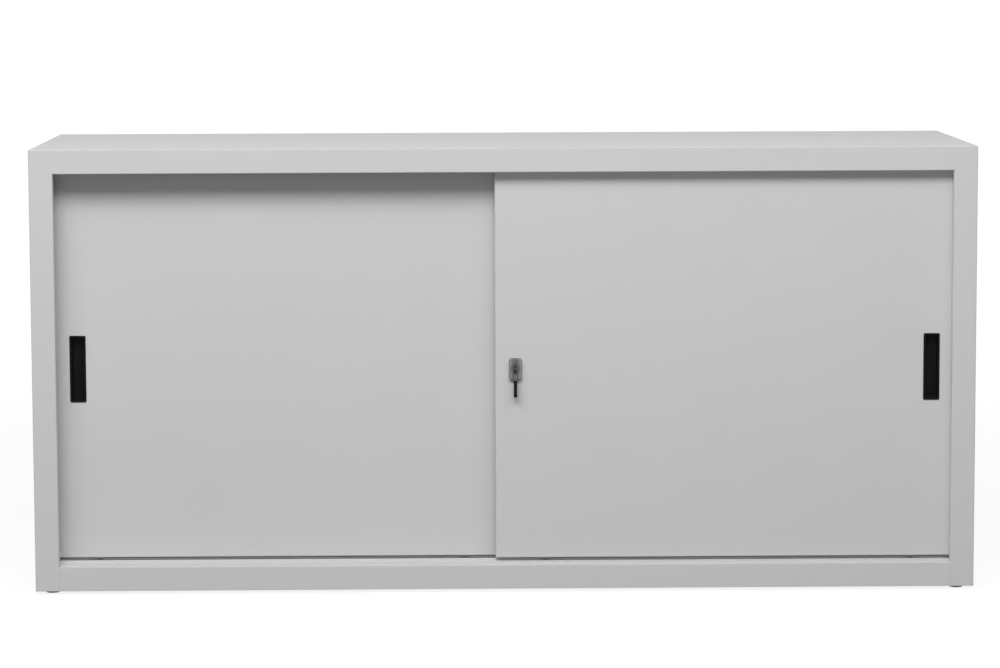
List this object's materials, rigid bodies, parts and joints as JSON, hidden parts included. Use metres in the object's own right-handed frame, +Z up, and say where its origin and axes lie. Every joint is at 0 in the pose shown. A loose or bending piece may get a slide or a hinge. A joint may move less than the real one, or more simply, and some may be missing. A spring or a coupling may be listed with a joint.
{
  "type": "sliding door cabinet",
  "caption": "Low light-grey sheet-steel cabinet with two overlapping sliding doors, recessed black pulls, a cam lock with a folding key, an inner shelf and levelling feet.",
  "frame": {"origin": "on the floor under the middle of the cabinet", "axes": "+X along the width, +Y from the front to the back, +Z up"},
  "size_m": [1.5, 0.465, 0.71],
  "materials": {
    "body_paint": "satin light grey powder coat",
    "door_paint": "satin light grey powder coat",
    "black_plastic": "moulded black",
    "nylon": "natural nylon",
    "wheel_nylon": "grey nylon",
    "zinc_steel": "zinc plated",
    "bright_steel": "nickel plated",
    "aluminium_track": "mill finish",
    "rubber": "matt",
    "die_cast": "satin nickel on die-cast zinc",
    "plug_metal": "dark nickel",
    "black_nickel": "black nickel plated",
    "key_plastic": "black grip",
    "foot_plastic": "moulded"
  },
  "bodies": {
    "cabinet": {"top_panel": "body_paint", "left_side_panel": "body_paint", "right_side_panel": "body_paint", "back_panel": "body_paint", "base_panel": "body_paint", "upper_track": "aluminium_track", "lower_track": "body_paint", "left_front_upright": "body_paint", "left_rear_upright": "body_paint", "right_front_upright": "body_paint", "right_rear_upright": "body_paint", "middle_rear_upright": "body_paint", "shelf_clips": "zinc_steel", "shelf": "body_paint", "shelf_stiffener": "body_paint", "front_lane_buffers": "rubber", "rear_lane_buffers": "rubber", "travel_stop": "rubber", "front_left_gusset": "body_paint", "front_right_gusset": "body_paint", "rear_left_gusset": "body_paint", "rear_right_gusset": "body_paint", "foot_nuts": "zinc_steel"},
    "left_door": {"left_door_panel": "door_paint", "left_door_stiffener": "door_paint", "left_door_pull": "black_plastic", "left_door_guides": "nylon", "left_door_left_bracket": "zinc_steel", "left_door_left_axle": "bright_steel", "left_door_right_bracket": "zinc_steel", "left_door_right_axle": "bright_steel", "strike_plate": "zinc_steel", "strike_rivets": "bright_steel"},
    "right_door": {"right_door_panel": "door_paint", "right_door_stiffener": "door_paint", "right_door_pull": "black_plastic", "right_door_guides": "nylon", "right_door_left_bracket": "zinc_steel", "right_door_left_axle": "bright_steel", "right_door_right_bracket": "zinc_steel", "right_door_right_axle": "bright_steel", "lock_housing": "die_cast", "lock_nut": "die_cast"},
    "left_door_left_wheel": {"left_door_left_wheel": "wheel_nylon"},
    "left_door_right_wheel": {"left_door_right_wheel": "wheel_nylon"},
    "right_door_left_wheel": {"right_door_left_wheel": "wheel_nylon"},
    "right_door_right_wheel": {"right_door_right_wheel": "wheel_nylon"},
    "lock_plug": {"lock_plug": "plug_metal", "lock_cam": "zinc_steel", "cam_screw": "zinc_steel"},
    "key": {"key_blade": "black_nickel"},
    "key_bow": {"key_pin": "black_nickel", "key_neck": "black_nickel", "key_grip": "key_plastic"},
    "front_left_foot": {"front_left_foot": "foot_plastic"},
    "front_right_foot": {"front_right_foot": "foot_plastic"},
    "rear_left_foot": {"rear_left_foot": "foot_plastic"},
    "rear_right_foot": {"rear_right_foot": "foot_plastic"}
  },
  "joints": [
    {"name": "left_door_slide", "type": "slide", "parent": "cabinet", "child": "left_door", "axis": [1, 0, 0], "range_m": [0, 0.642]},
    {"name": "right_door_slide", "type": "slide", "parent": "cabinet", "child": "right_door", "axis": [-1, 0, 0], "range_m": [0, 0.715]},
    {"name": "left_door_left_wheel_spin", "type": "hinge", "parent": "left_door", "child": "left_door_left_wheel", "pos_m": [-0.65, -0.184, 0.0608], "axis": [0, 1, 0], "continuous": true},
    {"name": "left_door_right_wheel_spin", "type": "hinge", "parent": "left_door", "child": "left_door_right_wheel", "pos_m": [-0.065, -0.184, 0.0608], "axis": [0, 1, 0], "continuous": true},
    {"name": "right_door_left_wheel_spin", "type": "hinge", "parent": "right_door", "child": "right_door_left_wheel", "pos_m": [0.065, -0.2085, 0.0608], "axis": [0, 1, 0], "continuous": true},
    {"name": "right_door_right_wheel_spin", "type": "hinge", "parent": "right_door", "child": "right_door_right_wheel", "pos_m": [0.65, -0.2085, 0.0608], "axis": [0, 1, 0], "continuous": true},
    {"name": "lock_turn", "type": "hinge", "parent": "right_door", "child": "lock_plug", "pos_m": [0.017, -0.223, 0.3575], "axis": [0, -1, 0], "range_deg": [0, 90]},
    {"name": "key_pull", "type": "slide", "parent": "lock_plug", "child": "key", "axis": [0, -1, 0], "range_m": [0, 0.03]},
    {"name": "key_fold", "type": "hinge", "parent": "key", "child": "key_bow", "pos_m": [0.017, -0.2265, 0.3575], "axis": [-1, 0, 0], "range_deg": [0, 90]},
    {"name": "front_left_foot_turn", "type": "hinge", "parent": "cabinet", "child": "front_left_foot", "pos_m": [-0.725, -0.2075, 0], "axis": [0, 0, 1], "continuous": true},
    {"name": "front_right_foot_turn", "type": "hinge", "parent": "cabinet", "child": "front_right_foot", "pos_m": [0.725, -0.2075, 0], "axis": [0, 0, 1], "continuous": true},
    {"name": "rear_left_foot_turn", "type": "hinge", "parent": "cabinet", "child": "rear_left_foot", "pos_m": [-0.725, 0.2075, 0], "axis": [0, 0, 1], "continuous": true},
    {"name": "rear_right_foot_turn", "type": "hinge", "parent": "cabinet", "child": "rear_right_foot", "pos_m": [0.725, 0.2075, 0], "axis": [0, 0, 1], "continuous": true}
  ],
  "couplings": [
    {"joint": "left_door_left_wheel_spin", "follows": "left_door_slide", "rad_per_m": 100},
    {"joint": "left_door_right_wheel_spin", "follows": "left_door_slide", "rad_per_m": 100},
    {"joint": "right_door_left_wheel_spin", "follows": "right_door_slide", "rad_per_m": -100},
    {"joint": "right_door_right_wheel_spin", "follows": "right_door_slide", "rad_per_m": -100}
  ]
}
